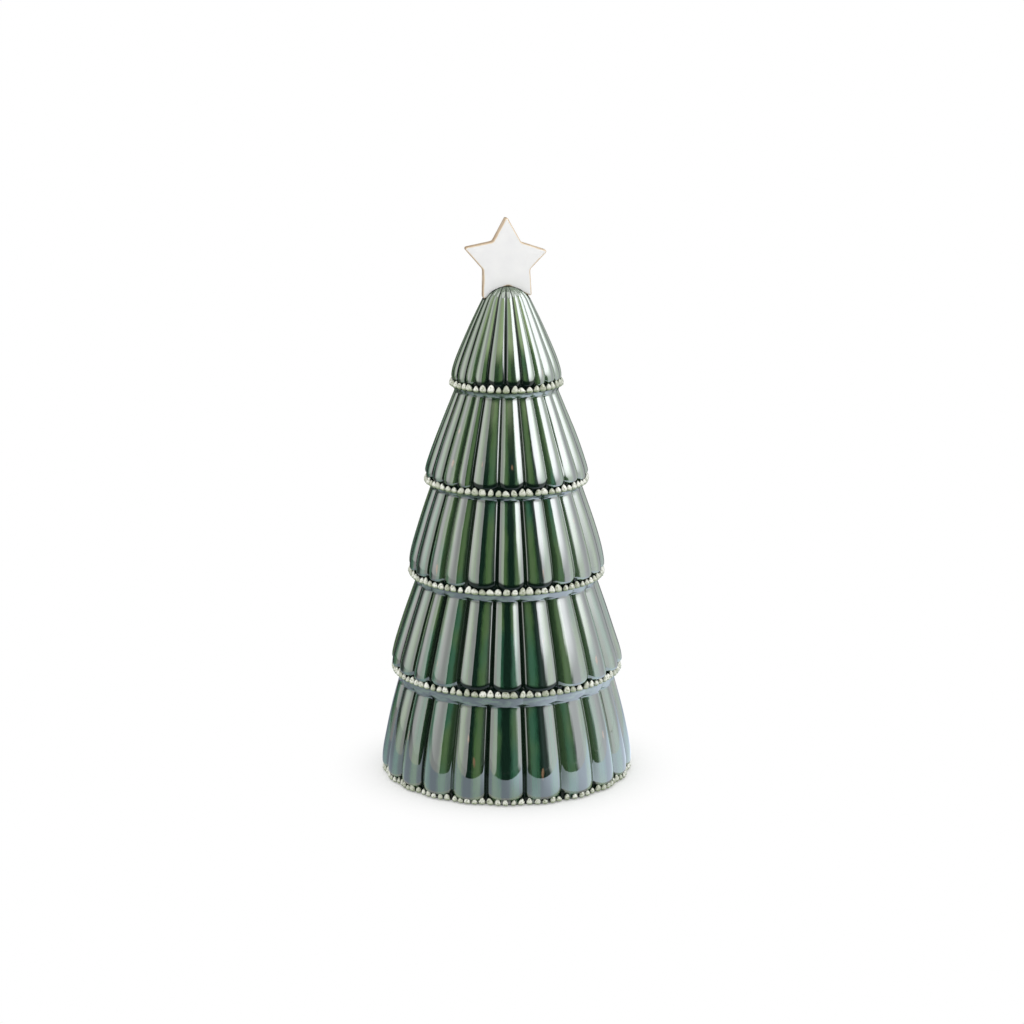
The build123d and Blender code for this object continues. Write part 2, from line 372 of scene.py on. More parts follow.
class Columns:
    """Angles of a bell's grid columns, and where each one lies across its flute."""

    def __init__(self, tier, rng):
        spread = np.linspace(-1, 1, COLUMNS_PER_FLUTE, endpoint=False)
        across = CROWDING * np.sin(spread * math.pi / 2) + (1 - CROWDING) * spread
        front = len(tier.shifts)
        back = np.linspace(tier.shifts[-1], tier.shifts[0], FLUTES - front + 2)[1:-1]
        shifts = np.roll(np.append(tier.shifts, back), 1 - front // 2)
        shifts = shifts + rng.normal(0, GROOVE_WANDER / 2, FLUTES)
        edges = tier.twist + HALF_FLUTE * (2 * np.arange(FLUTES) - 1) + shifts
        edges = np.append(edges, edges[0] + 2 * math.pi)
        self.middles = (edges[1:] + edges[:-1]) / 2
        self.halves = (edges[1:] - edges[:-1]) / 2
        depths = np.append(tier.depths, rng.uniform(*BACK_DEPTHS, FLUTES - front))
        depths[-FAR_LEFT_GROOVES:] = FAR_LEFT_DEPTH
        depths = np.roll(depths, 1 - front // 2)
        depths = np.append(depths, depths[0])
        self.depth = np.where(across < 0, depths[:-1, None], depths[1:, None]).ravel()
        self.across = np.tile(across, FLUTES)
        self.shade = np.minimum(self.depth * smooth(np.abs(self.across), *CREASE_SHADE), 1)
        self.angle = (self.middles[:, None] + self.halves[:, None] * across).ravel()
        self.swell = np.repeat(1 + rng.normal(0, SWELL_WANDER / 2, FLUTES), COLUMNS_PER_FLUTE)
        self.tip_lift = np.repeat(rng.uniform(-1, 1, FLUTES), COLUMNS_PER_FLUTE) * TIP_WANDER
        self.front = smooth(-np.sin(np.repeat(self.middles, COLUMNS_PER_FLUTE)), *FRONT_FACING)
        self.phases = rng.uniform(0, 2 * math.pi, (WALL_WAVES, 2))

    def flutes(self, crest, lost, rounding, crease=CREASE):
        """Radius at each column of a level section whose flutes fall away from a crest radius."""
        from_groove = 1 - np.abs(self.across)
        soft = rounding / (HALF_FLUTE * crest) * (1 - from_groove**2)
        share = 1 - np.hypot(from_groove, soft)
        creased = crease * self.depth * smooth(share, CREASE_START, 1.0)
        return crest * np.exp(-lost(share) * self.swell - creased)

    def crease(self, radius):
        """Share of painted shade along the crease at each column of a section of about a radius."""
        width = min(CREASE_WIDTH / (HALF_FLUTE * np.max(radius)), WIDEST_CREASE)
        return np.minimum(self.depth * smooth(np.abs(self.across), 1 - 2 * width, 1 - width / 2), 1)

    def unevenness(self, height):
        """Slow hand-made waves of the wall at a height."""
        wave = 0.0
        for count, (turn, rise) in enumerate(self.phases, 2):
            around = count * self.angle + turn
            wave = wave + np.sin(around) * math.sin(height / (WAVE_HEIGHT * count) + rise)
        return WALL_WANDER * wave / 2


# Meshes

def new_piece(name, points, faces, attributes):
    """Mesh object from points and faces, smooth, with a number on each point for every attribute."""
    mesh = bpy.data.meshes.new(name)
    mesh.from_pydata(points.tolist(), [], faces)
    mesh.update()
    mesh.shade_smooth()
    for label, values in attributes.items():
        layer = mesh.attributes.new(label, "FLOAT", "POINT")
        layer.data.foreach_set("value", np.asarray(values, dtype=np.float32))
    piece = bpy.data.objects.new(name, mesh)
    bpy.context.scene.collection.objects.link(piece)
    return piece


def grid_faces(rows, columns, closed):
    """Quads between the rows of a grid whose columns go all the way round."""
    faces = []
    for row in range(rows if closed else rows - 1):
        here, there = row * columns, (row + 1) % rows * columns
        for column in range(columns):
            after = (column + 1) % columns
            faces.append((here + column, here + after, there + after, there + column))
    return faces


def capped_faces(rows, columns):
    """Quads of a grid with a fan at each end, whose middles are the two points after the grid."""
    faces = grid_faces(rows, columns, False)
    first, last, end = rows * columns, rows * columns + 1, (rows - 1) * columns
    for column in range(columns):
        after = (column + 1) % columns
        faces.append((after, column, first))
        faces.append((end + column, end + after, last))
    return faces


class Bell:
    """Grid of one bell, built row by row from the inside round the rim to the top."""

    def __init__(self, tier, rng):
        self.tier = tier
        self.columns = Columns(tier, rng)
        self.radii, self.heights = [], []
        self.values = {"lobe": [], "pool_and_shade": [], "inside": [], "crease": [], "shade": []}

    def row(self, radius, height, pool_and_shade=0.0, inside=0.0, creased=0.0, plain=0.0):
        """Adds one row; each value is one number or one for every column."""
        columns = self.columns
        blank = np.zeros_like(columns.angle)
        self.radii.append(blank + radius)
        self.heights.append(blank + height)
        self.values["lobe"].append(np.abs(columns.across) * (1 - plain) - plain)
        # Share of dark pooled glaze and painted shade
        self.values["pool_and_shade"].append(blank + pool_and_shade)
        self.values["inside"].append(blank + inside)
        # Painted dark line of shade along the creases, and painted shade across the sides of creased
        # grooves
        self.values["crease"].append(columns.crease(radius) * creased)
        self.values["shade"].append(columns.shade * creased)

    def inside_rows(self):
        """Inner wall from the ceiling down to the foot."""
        tier = self.tier
        walls = [GROOVE_SHARE * tier.flank(share)[0] - WALL for share in (1, 0.5, 0)]
        ceiling = tier.top - DOME_THICKNESS if tier.is_crown else tier.flute_top
        levels = (ceiling, tier.flank(0.5)[1], tier.tip_top)
        for wall, level in zip(walls, levels):
            self.row(max(wall, tier.bore) if level == tier.tip_top else wall, level, inside=1)
        self.row(tier.bore, tier.band_top, inside=1)
        self.row(tier.bore, tier.foot + EDGE_ROUND, inside=1)
        self.row(tier.bore + EDGE_ROUND, tier.foot, inside=1)

    def band_section(self):
        """Radius of the band behind the beads at each column."""
        if self.tier.is_base:
            return self.columns.flutes(self.tier.band, BASE_RIM_FALL, GROOVE_ROUND, 0)
        return np.full_like(self.columns.angle, self.tier.band)

    def band_pool_and_shade(self):
        """Share of dark pooled glaze and painted shade on the band behind the beads."""
        if self.tier.is_base:
            return BASE_BAND + (1 - BASE_BAND) * smooth(np.abs(self.columns.across), *BASE_BAND_POCKETS)
        return 1

    def tip_pool_and_shade(self, rise):
        """Share of dark pooled glaze and painted shade on the flutes' ends, by the rise over the band in
        tip heights.
        """
        columns = self.columns
        if self.tier.is_base:
            return smooth(np.abs(columns.across), *BASE_POCKETS) * (1 - smooth(rise, 0.0, 1.0))
        return (SIDE_TIPS + (1 - SIDE_TIPS) * columns.front) * (1 - smooth(rise, *TIP_POOL_AND_SHADE_END))

    def neck_pool_and_shade(self, rise):
        """Share of dark pooled glaze and painted shade at a rise over the flutes: in the hollow above them
        and under the beads.
        """
        hollow = SIDE_NECKS + (1 - SIDE_NECKS) * self.columns.front
        hollow = hollow * (1 - smooth(rise, 0, NECK_FILLET))
        return NECK_POOL_AND_SHADE * (hollow + smooth(rise / self.tier.neck_height, *UNDER_BEADS))

    def pocket_lift(self):
        """Height by which each column's flute starts later, in the pockets and by hand work."""
        return POCKET_RISE * np.abs(self.columns.across) ** 3 + self.columns.tip_lift

    def rim_rows(self):
        """Foot, band and the rounded lower ends of the flutes."""
        tier = self.tier
        band = self.band_section()
        dark = self.band_pool_and_shade()
        band_foot = tier.foot + EDGE_ROUND
        start = tier.band_top + self.pocket_lift()
        self.row(band - EDGE_ROUND, tier.foot, 1, 0.5)
        self.row(band - EDGE_MIDDLE, tier.foot + EDGE_MIDDLE, 1)
        self.row(band, band_foot, dark)
        for share in (0.35, 0.7, 1.0):
            self.row(band, band_foot + (start - band_foot) * share, dark)
        full = self.columns.flutes(tier.radius, FLUTE_FALL, GROOVE_ROUND)
        for step in range(1, TIP_ROWS + 1):
            angle = math.pi / 2 * step / TIP_ROWS
            swell, rise = math.sin(angle), 1 - math.cos(angle)
            height = start + (tier.tip_top - tier.band_top) * rise
            self.row(band + (full - band) * swell, height, self.tip_pool_and_shade(rise), creased=1)

    def flank_rows(self):
        """Flutes from the tips to the neck."""
        tier, columns = self.tier, self.columns
        lift = self.pocket_lift()
        for step in range(1, FLANK_ROWS + 1):
            share = step / FLANK_ROWS
            crest, height = tier.flank(share)
            radius = columns.flutes(crest, FLUTE_FALL, GROOVE_ROUND)
            radius = radius + columns.unevenness(height) * math.sin(math.pi * share)
            pool_and_shade = self.tip_pool_and_shade(1 + (height - tier.tip_top) / TIP_HEIGHT)
            if step == FLANK_ROWS and not tier.is_crown:
                pool_and_shade = pool_and_shade + self.neck_pool_and_shade(0)
            self.row(radius, height + lift * (1 - share) ** 3, pool_and_shade, creased=1)

    def neck_rows(self):
        """Concave neck with shallow scallops, then the spigot that the next bell hides."""
        tier, columns = self.tier, self.columns
        slope = tier.flank_slope()
        rest = tier.neck_height - NECK_FILLET
        for step in range(1, NECK_ROWS + 1):
            rise = tier.neck_height * step / NECK_ROWS
            bent = min(rise, NECK_FILLET)
            crest = tier.flute_crest + slope * (bent - bent**2 / (2 * NECK_FILLET))
            crest += NECK_FLARE * (max(rise - NECK_FILLET, 0) / rest) ** FLARE_BEND
            ease = smooth(rise, 0, NECK_EASE)
            fluted = columns.flutes(crest, FLUTE_FALL, GROOVE_ROUND)
            shallow = columns.flutes(crest, NECK_FALL, GROOVE_ROUND, 0)
            radius = fluted + (shallow - fluted) * ease
            self.row(radius, tier.flute_top + rise, self.neck_pool_and_shade(rise), creased=1 - ease, plain=ease)
        self.row(tier.spigot + EDGE_ROUND, tier.top, 1)
        self.row(tier.spigot, tier.top + EDGE_ROUND, 1)
        self.row(tier.spigot, tier.spigot_top, 1)
        self.row(tier.way_up, tier.spigot_top, inside=1)
        self.row(tier.way_up, tier.flute_top, inside=1)

    def dome_rows(self):
        """Fluted cap that closes the crown, with painted shade along the star's faces."""
        columns = self.columns
        for step in range(1, DOME_ROWS):
            angle = DOME_SPAN * (1 - step / DOME_ROWS)
            crest = DOME_RADIUS * math.sin(angle)
            rounding = min(GROOVE_ROUND, crest * DOME_ROUND_SHARE)
            height = self.tier.top - DOME_RADIUS * (1 - math.cos(angle))
            radius = columns.flutes(crest, FLUTE_FALL, rounding)
            gap = np.abs(radius * np.sin(columns.angle - STAR_YAW)) - STAR_HALF_THICKNESS * MM
            self.row(radius, height, 1 - smooth(gap, *STAR_SHADE_END), creased=1)

    def piece(self):
        """The finished object."""
        tier, angle = self.tier, self.columns.angle
        self.inside_rows()
        self.rim_rows()
        self.flank_rows()
        if tier.is_crown:
            self.dome_rows()
        else:
            self.neck_rows()
        radius, height = np.array(self.radii), np.array(self.heights)
        points = np.stack([radius * np.cos(angle), radius * np.sin(angle), height], axis=2)
        points = points.reshape(-1, 3)
        attributes = {label: np.array(rows).ravel() for label, rows in self.values.items()}
        if tier.is_crown:
            points = np.vstack([points, [[0, 0, height[0, 0]], [0, 0, tier.top]]])
            for label, values in attributes.items():
                attributes[label] = np.append(values, (label == "inside", 0))
            faces = capped_faces(len(radius), len(angle))
        else:
            faces = grid_faces(len(radius), len(angle), True)
        return new_piece(f"{tier.node}_glazed", points, faces, attributes)


def bead_points(size, rng):
    """Points of one pressed drop of clay: x outwards, y along the rim, z up from its flat foot."""
    width = size * rng.uniform(*BEAD_WIDTHS)
    depth = size * rng.uniform(*BEAD_DEPTHS)
    height = size * rng.uniform(*BEAD_HEIGHTS)
    point = rng.uniform(*BEAD_POINTS)
    lean = rng.normal(0, BEAD_LEAN)
    sweep = np.linspace(-math.pi / 2, math.pi / 2, BEAD_RINGS + 2)
    around = np.linspace(0, 2 * math.pi, BEAD_SIDES, endpoint=False)
    rings = []
    for angle in sweep[1:-1]:
        if angle < 0:
            level = BEAD_EQUATOR * (1 + math.sin(angle))
            reach = math.cos(angle) ** BEAD_FOOT_BEND
        else:
            level = BEAD_EQUATOR + (1 - BEAD_EQUATOR) * math.sin(angle)
            reach = (1 - math.sin(angle) ** point) ** BEAD_TOP_BEND
        dent = 1 + BEAD_DENTS[0] * np.sin(2 * around + 9 * lean)
        dent = dent + BEAD_DENTS[1] * np.sin(3 * around + 20 * lean + 2 * level)
        x = reach * dent * np.cos(around) * depth / 2
        y = reach * dent * np.sin(around) * width / 2 + lean * level * height
        rings.append(np.stack([x, y, np.full(BEAD_SIDES, level * height)], axis=1))
    ends = np.array([[0, 0, 0], [0, lean * height, height]])
    return np.vstack(rings + [ends])


def scallop_places(tier, columns):
    """Centre distance, bearing and facing of each bead of the row on the base's scallops."""
    places = []
    for middle, half in zip(columns.middles, columns.halves):
        for number in range(BEADS_PER_SCALLOP):
            share = (number - (BEADS_PER_SCALLOP - 1) / 2) / (BEADS_PER_SCALLOP / 2)
            reach = tier.band * math.exp(-BASE_RIM_FALL(abs(share))) + SCALLOP_STAND
            bearing = middle + share * half * SCALLOP_SPREAD
            places.append((reach, bearing, middle + SCALLOP_FACING * share))
    return places


def round_places(tier, rng):
    """Centre distance, bearing and facing of each bead of a round row."""
    reach = tier.band + BEAD_STAND
    count = math.floor(2 * math.pi * reach / (tier.bead + BEAD_GAP))
    angles = -math.pi / 2 + 2 * math.pi * np.arange(count) / count
    angles = angles + rng.normal(0, BEAD_WANDER, count) / reach
    return [(reach - BEAD_SINK, angle, angle) for angle in angles]


def bead_row(tier, columns, rng):
    """All the beads of one rim as one object of separate drops."""
    places = scallop_places(tier, columns) if tier.is_base else round_places(tier, rng)
    faces_of_one = capped_faces(BEAD_RINGS, BEAD_SIDES)
    points, faces = [], []
    values = {"back": [], "rise": [], "tone": []}
    for reach, bearing, facing in places:
        drop = bead_points(tier.bead, rng)
        start = len(points) * len(drop)
        cosine, sine = math.cos(facing), math.sin(facing)
        x = reach * math.cos(bearing) + drop[:, 0] * cosine - drop[:, 1] * sine
        y = reach * math.sin(bearing) + drop[:, 0] * sine + drop[:, 1] * cosine
        points.append(np.stack([x, y, tier.bead_foot + drop[:, 2]], axis=1))
        values["back"].append(0.5 - drop[:, 0] / tier.bead)
        values["rise"].append(drop[:, 2] / tier.bead)
        values["tone"].append(np.full(len(drop), rng.uniform()))
        faces += [tuple(start + corner for corner in face) for face in faces_of_one]
    attributes = {label: np.concatenate(drops) for label, drops in values.items()}
    return new_piece(f"{tier.bead_node}_drops", np.vstack(points), faces, attributes)


def rounded_outline(corners, rounds, steps):
    """Closed outline with each corner replaced by a tangent arc."""
    points = []
    count = len(corners)
    for number, (corner, radius) in enumerate(zip(corners, rounds)):
        before = corners[number - 1] - corner
        after = corners[(number + 1) % count] - corner
        before, after = before / np.hypot(*before), after / np.hypot(*after)
        half = math.acos(np.clip(before @ after, -1, 1)) / 2
        bisector = (before + after) / np.hypot(*(before + after))
        middle = corner + bisector * radius / math.sin(half)
        start = corner + before * radius / math.tan(half) - middle
        sweep = math.pi - 2 * half
        turn = -np.sign(before[0] * after[1] - before[1] * after[0])
        for step in range(steps + 1):
            angle = turn * sweep * step / steps
            cosine, sine = math.cos(angle), math.sin(angle)
            arm = np.array([start[0] * cosine - start[1] * sine, start[0] * sine + start[1] * cosine])
            points.append(middle + arm)
    return np.array(points)


def resample(outline, count):
    """The closed outline as points evenly spaced along it."""
    loop = np.vstack([outline, outline[:1]])
    along = np.append(0, np.cumsum(np.hypot(*np.diff(loop, axis=0).T)))
    places = np.linspace(0, along[-1], count, endpoint=False)
    return np.stack([np.interp(places, along, loop[:, axis]) for axis in (0, 1)], axis=1)


def star_outline():
    """Outline of the star in millimetres, x to the right and y up."""
    corners, rounds = [], []
    for number, (reach, bearing) in enumerate(STAR_TIPS):
        following = STAR_TIPS[(number + 1) % len(STAR_TIPS)][1]
        gap = (following - bearing) % 360
        angle = math.radians(bearing)
        corners.append(np.array([reach * math.cos(angle), reach * math.sin(angle)]))
        rounds.append(STAR_TIP_ROUND)
        angle = math.radians(bearing + gap / 2)
        notch = STAR_NOTCHES[number]
        corners.append(np.array([notch * math.cos(angle), notch * math.sin(angle)]))
        rounds.append(STAR_NOTCH_ROUND)
    return resample(rounded_outline(corners, rounds, STAR_ARC_STEPS), STAR_COLUMNS)


def star_rows(outline):
    """Rows of the star from its front to its back: outline, level and wear of each."""
    along = np.roll(outline, -1, axis=0) - np.roll(outline, 1, axis=0)
    normal = np.stack([along[:, 1], -along[:, 0]], axis=1) / np.hypot(*along.T)[:, None]
    inner = outline - normal * STAR_EDGE_ROUND
    front = []
    for share in STAR_FACE_RINGS:
        level = STAR_HALF_THICKNESS + STAR_CROWN * (1 - share**2)
        front.append((inner * share, level, FACE_WEAR * share**8))
    for step in range(STAR_EDGE_ROWS + 1):
        share = step / STAR_EDGE_ROWS
        angle = math.pi / 2 * share
        inset = STAR_EDGE_ROUND * (1 - math.sin(angle))
        level = STAR_HALF_THICKNESS - STAR_EDGE_ROUND * (1 - math.cos(angle))
        front.append((outline - normal * inset, level, EDGE_WEAR + (1 - EDGE_WEAR) * share))
    back = [(flat, -level, wear) for flat, level, wear in reversed(front)]
    return front + [(outline, 0.0, 1.0)] + back


def star_piece():
    """The star: a plate with rounded edges and slightly pillowed faces."""
    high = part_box("star")[1]
    outline = star_outline()
    rows = star_rows(outline)
    rings = [np.column_stack([flat, np.full(len(flat), level)]) for flat, level, wear in rows]
    summit = STAR_HALF_THICKNESS + STAR_CROWN
    ends = np.array([[0, 0, summit], [0, 0, -summit]])
    right, up, out = np.vstack(rings + [ends]).T * MM
    middle = high.z - outline[:, 1].max() * MM
    cosine, sine = math.cos(STAR_YAW), math.sin(STAR_YAW)
    points = np.column_stack([right * cosine + out * sine, right * sine - out * cosine, middle + up])
    wear = np.repeat([row[2] for row in rows], len(outline))
    faces = capped_faces(len(rows), len(outline))
    return new_piece("star_glazed", points, faces, {"edge": np.append(wear, (0, 0))})


# Materials

class Nodes:
    """Short way to build the node tree of a material or a world."""

    def __init__(self, owner):
        self.owner = owner
        owner.use_nodes = True
        self.tree = owner.node_tree
        self.tree.nodes.clear()

    def feed(self, socket, value):
        """Gives an input a value or another node's socket."""
        if isinstance(value, bpy.types.NodeSocket):
            self.tree.links.new(value, socket)
        else:
            socket.default_value = value

    def add(self, kind, settings=(), **inputs):
        """New node; an input's key is its name with underscores for spaces, or a letter and its number."""
        node = self.tree.nodes.new(kind)
        for key, value in dict(settings).items():
            setattr(node, key, value)
        for key, value in inputs.items():
            label = int(key[1:]) if key[1:].isdigit() else key.replace("_", " ")
            self.feed(node.inputs[label], value)
        return node

    def math(self, operation, first, second):
        """Socket of one operation on two values or sockets."""
        node = self.add("ShaderNodeMath", {"operation": operation}, i0=first, i1=second)
        return node.outputs[0]

    def spread(self, value, low, high, to_low=0.0, to_high=1.0):
        """Socket of a value moved smoothly from one range to another."""
        ranges = {"i0": value, "i1": low, "i2": high, "i3": to_low, "i4": to_high}
        node = self.add("ShaderNodeMapRange", {"interpolation_type": "SMOOTHSTEP"}, **ranges)
        return node.outputs[0]

    def ramp(self, value, stops):
        """Socket of a colour read from stops of place and colour."""
        node = self.add("ShaderNodeValToRGB", i0=value)
        ramp = node.color_ramp
        while len(ramp.elements) < len(stops):
            ramp.elements.new(0.5)
        for element, (place, colour) in zip(ramp.elements, stops):
            element.position = place
            element.color = (*colour, 1)
        return node.outputs[0]

    def mix(self, share, first, second):
        """Socket of a blend of two colours."""
        node = self.add("ShaderNodeMix", {"data_type": "RGBA"}, i0=share)
        for socket, colour in zip((node.inputs[6], node.inputs[7]), (first, second)):
            self.feed(socket, (*colour, 1) if isinstance(colour, tuple) else colour)
        return node.outputs[2]

    def attribute(self, label):
        """Socket of a number kept on the mesh's points."""
        return self.add("ShaderNodeAttribute", {"attribute_name": label}).outputs["Fac"]

    def place(self):
        """Socket of the place in the object's own space."""
        return self.add("ShaderNodeTexCoord").outputs["Object"]

    def noise(self, scale, size=(1, 1, 1), detail=2.0):
        """Socket of noise in the object's own space, stretched along its axes."""
        stretched = self.add("ShaderNodeMapping", Vector=self.place(), Scale=size).outputs[0]
        return self.add("ShaderNodeTexNoise", Vector=stretched, Scale=scale, Detail=detail).outputs[0]

    def bump(self, height, distance, strength):
        """Socket of a normal bent by a height."""
        return self.add("ShaderNodeBump", Height=height, Distance=distance, Strength=strength).outputs[0]

    def glow(self, colour, strength):
        """Socket of light given off."""
        return self.add("ShaderNodeEmission", Color=(*colour, 1), Strength=strength).outputs[0]

    def surface(self, shader, end="ShaderNodeOutputMaterial"):
        """Ends the tree with a shader's socket."""
        self.add(end, Surface=shader)
        return self.owner

    def glaze(self, **inputs):
        """Ends the tree with a glossy coloured surface."""
        return self.surface(self.add("ShaderNodeBsdfPrincipled", **inputs).outputs[0])


def new_material(name):
    """Empty node tree of a new material."""
    return Nodes(bpy.data.materials.new(name))


def band_stops(crest, middle, edge, groove):
    """Stops of a flute's colours from its crest to its groove."""
    return ((0.0, crest), (0.18, crest), (0.34, middle), (0.50, edge), (0.62, edge), (0.78, groove))


def fleck_share(nodes):
    """Socket that is 1 on small upright copper dashes, which a few cells of a stretched pattern hold."""
    stretched = nodes.add("ShaderNodeMapping", Vector=nodes.place(), Scale=(270, 270, 48)).outputs[0]
    cells = nodes.add("ShaderNodeTexVoronoi", Vector=stretched, Scale=1.0)
    drawn = nodes.add("ShaderNodeSeparateColor", Color=cells.outputs["Color"]).outputs[0]
    chosen = nodes.math("GREATER_THAN", drawn, BARE_CELLS)
    ragged = nodes.math("MULTIPLY", nodes.noise(1.0, (1100, 1100, 160)), 0.30)
    dash = nodes.spread(nodes.math("ADD", cells.outputs["Distance"], ragged), 0.40, 0.26)
    lobe = nodes.attribute("lobe")
    on_crest = nodes.math("MULTIPLY", nodes.spread(lobe, 0.5, 0.35), nodes.spread(lobe, -0.3, -0.1))
    return nodes.math("MULTIPLY", nodes.math("MULTIPLY", dash, chosen), on_crest)


def flute_colour(nodes, streaks):
    """Socket of the flutes' colour: near black on the crests, olive or emerald on their sides."""
    dark, groove = (0.007, 0.023, 0.014), (0.045, 0.090, 0.038)
    olive, olive_edge = (0.065, 0.132, 0.048), (0.095, 0.165, 0.070)
    emerald, emerald_edge = (0.026, 0.100, 0.056), (0.050, 0.140, 0.085)
    spring = (0.060, 0.125, 0.045)
    shift = nodes.math("MULTIPLY", streaks, STREAK_SHIFT)
    lobe = nodes.math("ADD", nodes.attribute("lobe"), shift)
    lobe = nodes.math("SUBTRACT", lobe, STREAK_SHIFT / 2)
    olives = nodes.ramp(lobe, band_stops(dark, olive, olive_edge, groove))
    emeralds = nodes.ramp(lobe, band_stops(dark, emerald, emerald_edge, groove))
    height = nodes.add("ShaderNodeSeparateXYZ", Vector=nodes.place()).outputs["Z"]
    clouds = nodes.noise(38.0, (1, 1, 0.6))
    cool = nodes.math("SUBTRACT", clouds, nodes.spread(height, *OLIVE_HEIGHTS, 0.0, 0.16))
    colour = nodes.mix(nodes.spread(cool, 0.42, 0.60), olives, emeralds)
    return nodes.mix(nodes.spread(height, *SPRING_HEIGHTS, 0.0, 0.45), colour, spring)


def green_glaze():
    """Lustrous green glaze, thin on the necks, flecked with copper, and near black where it pools and where
    shade is painted.
    """
    nodes = new_material("green_glaze")
    thin, copper, clay = (0.060, 0.115, 0.060), (0.24, 0.15, 0.09), (0.55, 0.47, 0.37)
    shaded, pooled_and_shaded = (0.004, 0.012, 0.008), (0.004, 0.011, 0.007)
    streaks = nodes.noise(1.0, (420, 420, 22), detail=3.0)
    brushed = nodes.noise(1.0, (150, 150, 420))
    neck = nodes.spread(nodes.attribute("lobe"), -0.1, -0.7)
    washed = nodes.math("MULTIPLY", neck, nodes.spread(brushed, 0.42, 0.62))
    # Near black, and less glossy, where glaze pools and where shade is painted: creases, pockets, neck
    # hollows, under the beads and along the star
    pool_and_shade = nodes.spread(nodes.attribute("pool_and_shade"), 0.05, 0.55)
    pool_and_crease_shade = nodes.math("MAXIMUM", nodes.attribute("crease"), pool_and_shade)
    inside = nodes.attribute("inside")
    colour = nodes.mix(washed, flute_colour(nodes, streaks), thin)
    colour = nodes.mix(fleck_share(nodes), colour, copper)
    colour = nodes.mix(nodes.attribute("shade"), colour, shaded)
    colour = nodes.mix(pool_and_crease_shade, colour, pooled_and_shaded)
    colour = nodes.mix(inside, colour, clay)
    roughness = nodes.spread(streaks, 0.3, 0.7, *GLAZE_ROUGHNESS)
    roughness = nodes.math("ADD", roughness, nodes.math("MULTIPLY", inside, CLAY_ROUGHNESS))
    ripple = nodes.math("MULTIPLY", nodes.math("MULTIPLY", neck, brushed), BRUSH_RELIEF)
    normal = nodes.bump(nodes.math("ADD", streaks, ripple), STREAK_RELIEF, 0.5)
    gloss = nodes.spread(pool_and_crease_shade, 0.1, 0.9, 0.5, 0.06)
    shine = {"Roughness": roughness, "IOR": GLAZE_IOR, "Specular_IOR_Level": gloss}
    return nodes.glaze(Base_Color=colour, Normal=normal, **shine)


def bead_glaze():
    """Cream glaze over clay drops, stained green where it runs into the gaps, with painted shade low on
    each drop and on its back and sides.
    """
    nodes = new_material("bead_glaze")
    grey, cream = (0.48, 0.51, 0.40), (0.93, 0.94, 0.86)
    speck, moss_and_shade, gap_green_and_shade = (0.22, 0.25, 0.13), (0.20, 0.26, 0.12), (0.012, 0.030, 0.018)
    specks = nodes.noise(1100.0, detail=3.0)
    tones = nodes.ramp(nodes.attribute("tone"), ((0.0, grey), (1.0, cream)))
    stained = nodes.mix(nodes.spread(specks, 0.50, 0.66, 0.0, 0.8), tones, speck)
    # Darker green low on each drop and on its back and sides: green stain and painted shade
    low = nodes.math("ADD", nodes.attribute("rise"), nodes.math("MULTIPLY", specks, 0.4))
    stained = nodes.mix(nodes.spread(low, 0.62, 0.28), stained, moss_and_shade)
    back = nodes.math("ADD", nodes.attribute("back"), nodes.math("MULTIPLY", specks, 0.18))
    colour = nodes.mix(nodes.spread(back, 0.42, 0.66), stained, gap_green_and_shade)
    roughness = nodes.spread(specks, 0.3, 0.7, 0.06, 0.18)
    normal = nodes.bump(specks, BEAD_RELIEF, 0.5)
    return nodes.glaze(Base_Color=colour, Roughness=roughness, Normal=normal)


def star_glaze():
    """White satin glaze that breaks to tan and brown on the edges."""
    nodes = new_material("star_glaze")
    grey_white, warm_white, cream = (0.91, 0.91, 0.91), (0.95, 0.95, 0.94), (0.90, 0.88, 0.84)
    tan, brown, bare = (0.78, 0.64, 0.45), (0.52, 0.38, 0.25), (0.76, 0.66, 0.52)
    clouds = nodes.noise(160.0, detail=3.0)
    grain = nodes.noise(1400.0)
    whites = nodes.ramp(clouds, ((0.3, grey_white), (0.7, warm_white)))
    worn = nodes.math("ADD", nodes.attribute("edge"), nodes.math("MULTIPLY", clouds, 0.5))
    tan_stops = ((0.32, cream), (0.53, tan), (0.72, brown), (0.86, brown), (0.97, bare))
    tans = nodes.ramp(nodes.math("MULTIPLY", worn, 0.71), tan_stops)
    colour = nodes.mix(nodes.spread(worn, 0.42, 0.80), whites, tans)
    roughness = nodes.spread(clouds, 0.3, 0.7, 0.28, 0.42)
    normal = nodes.bump(grain, STAR_RELIEF, 0.3)
    return nodes.glaze(Base_Color=colour, Roughness=roughness, Normal=normal)


# Studio

def seen_ray(nodes):
    """Socket that is 1 for rays that see the background as it is: camera, glossy and transmission rays."""
    path = nodes.add("ShaderNodeLightPath")
    either = nodes.math("MAXIMUM", path.outputs["Is Camera Ray"], path.outputs["Is Glossy Ray"])
    return nodes.math("MAXIMUM", either, path.outputs["Is Transmission Ray"])


def glowing_card(name, across, along, place, glow, colour):
    """Card out of the camera's sight, on a grid of two angles or reaches, with its glow on its points."""
    first, second = np.meshgrid(np.linspace(*across, CARD_STEPS), np.linspace(*along, CARD_STEPS))
    first, second = first.ravel(), second.ravel()
    faces = []
    for row in range(CARD_STEPS - 1):
        for column in range(CARD_STEPS - 1):
            corner = row * CARD_STEPS + column
            faces.append((corner, corner + 1, corner + CARD_STEPS + 1, corner + CARD_STEPS))
    card = new_piece(name, place(first, second), faces, {"glow": glow(first, second)})
    nodes = new_material(name)
    card.data.materials.append(nodes.surface(nodes.glow(colour, nodes.attribute("glow"))))
    card.visible_camera = False
    return card


